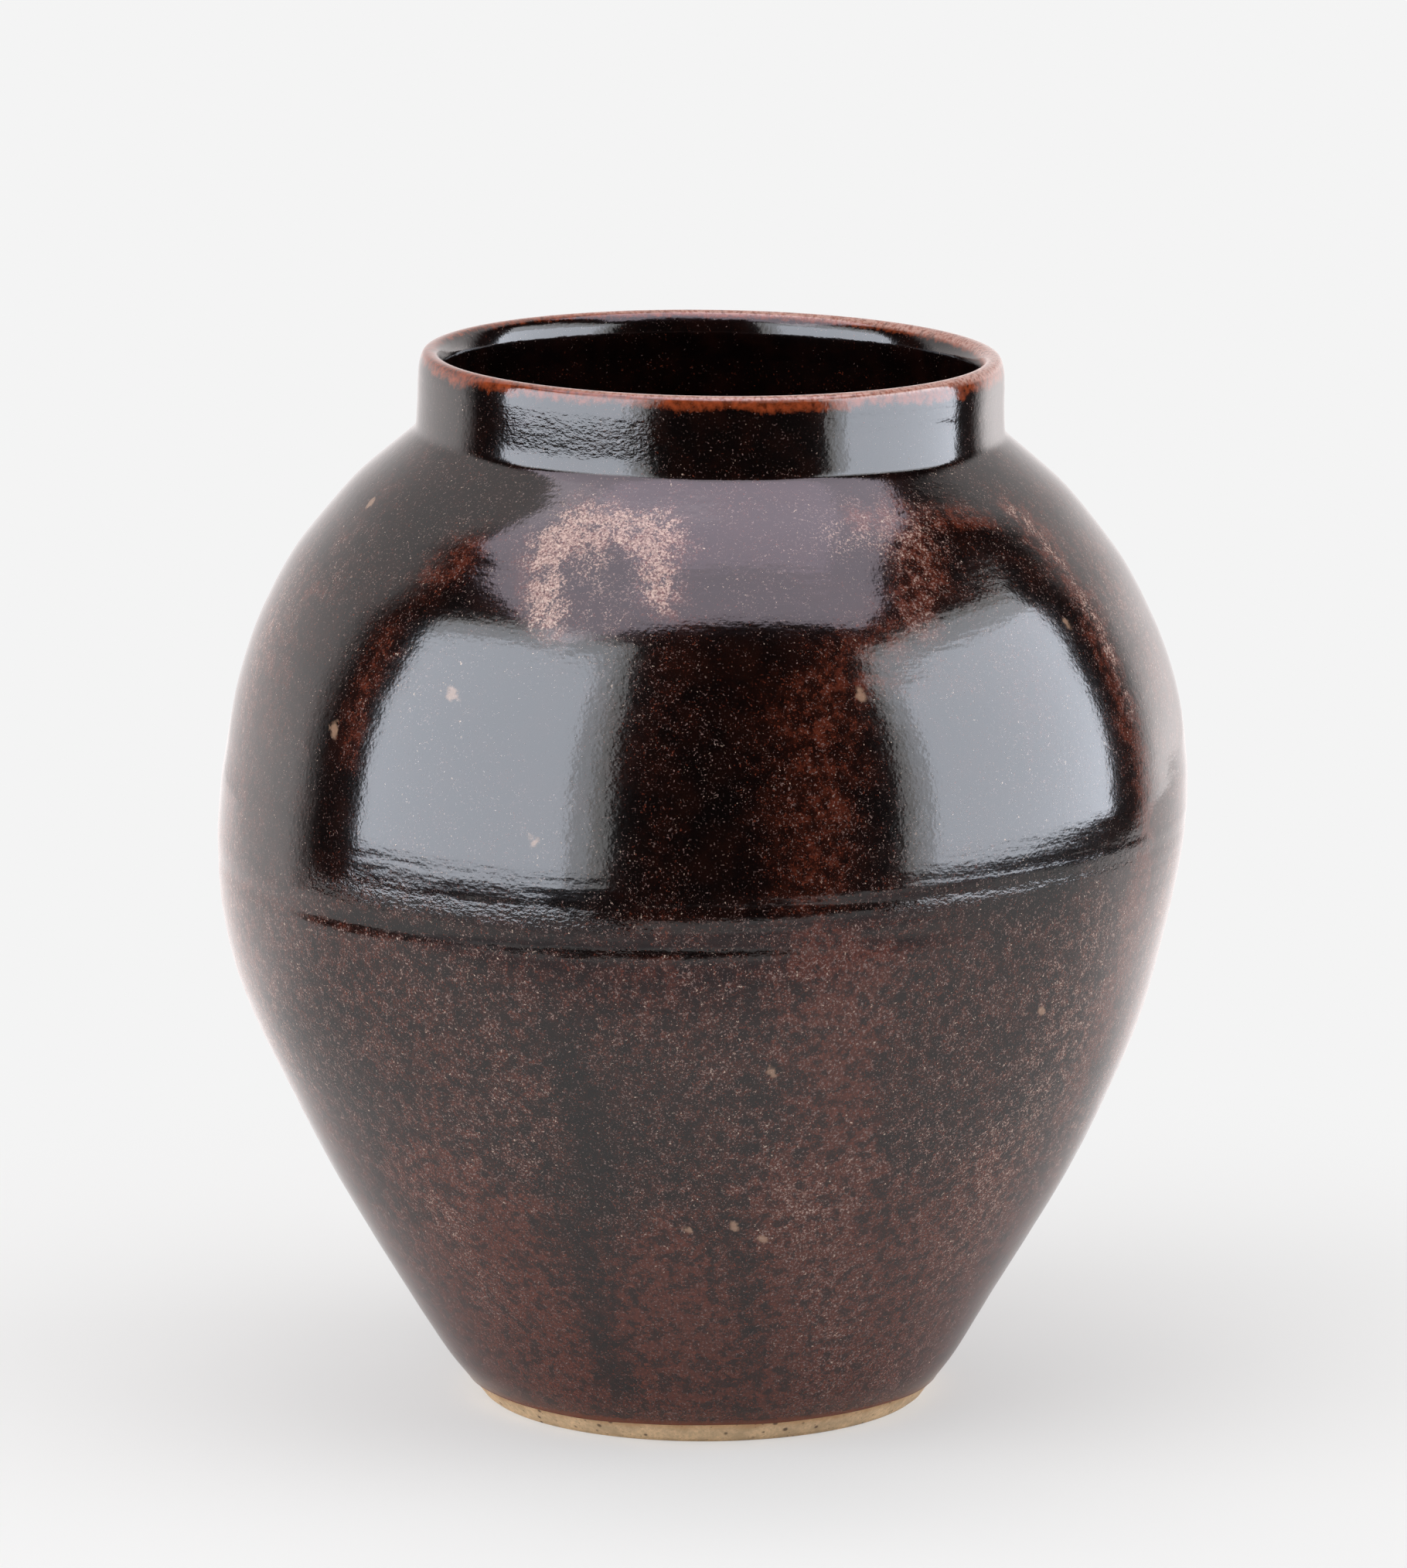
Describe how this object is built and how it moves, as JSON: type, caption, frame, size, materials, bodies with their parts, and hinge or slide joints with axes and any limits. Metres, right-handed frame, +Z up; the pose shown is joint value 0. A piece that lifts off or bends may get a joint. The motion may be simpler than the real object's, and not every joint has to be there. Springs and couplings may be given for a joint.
{
  "type": "stoneware jar",
  "caption": "Wide round-bellied stoneware jar with a short upright collar, rounded lip, dark iron glaze inside and out, and a bare clay foot.",
  "frame": {"origin": "centre of the foot ring, on the surface that the jar stands on", "axes": "+Z up along the jar's axis; -Y towards the camera of the picture, +X to its right"},
  "size_m": [0.2391, 0.238, 0.2611],
  "materials": {
    "stoneware_clay": "bare fired stoneware with iron specks",
    "iron_glaze": "glossy dark iron glaze that breaks rust at the lip",
    "liner_glaze": "glossy dark iron glaze"
  },
  "bodies": {
    "root": {"lower_body": "stoneware_clay", "upper_body": "stoneware_clay", "neck_collar": "stoneware_clay", "outer_glaze": "iron_glaze", "liner_glaze": "liner_glaze"}
  },
  "joints": []
}
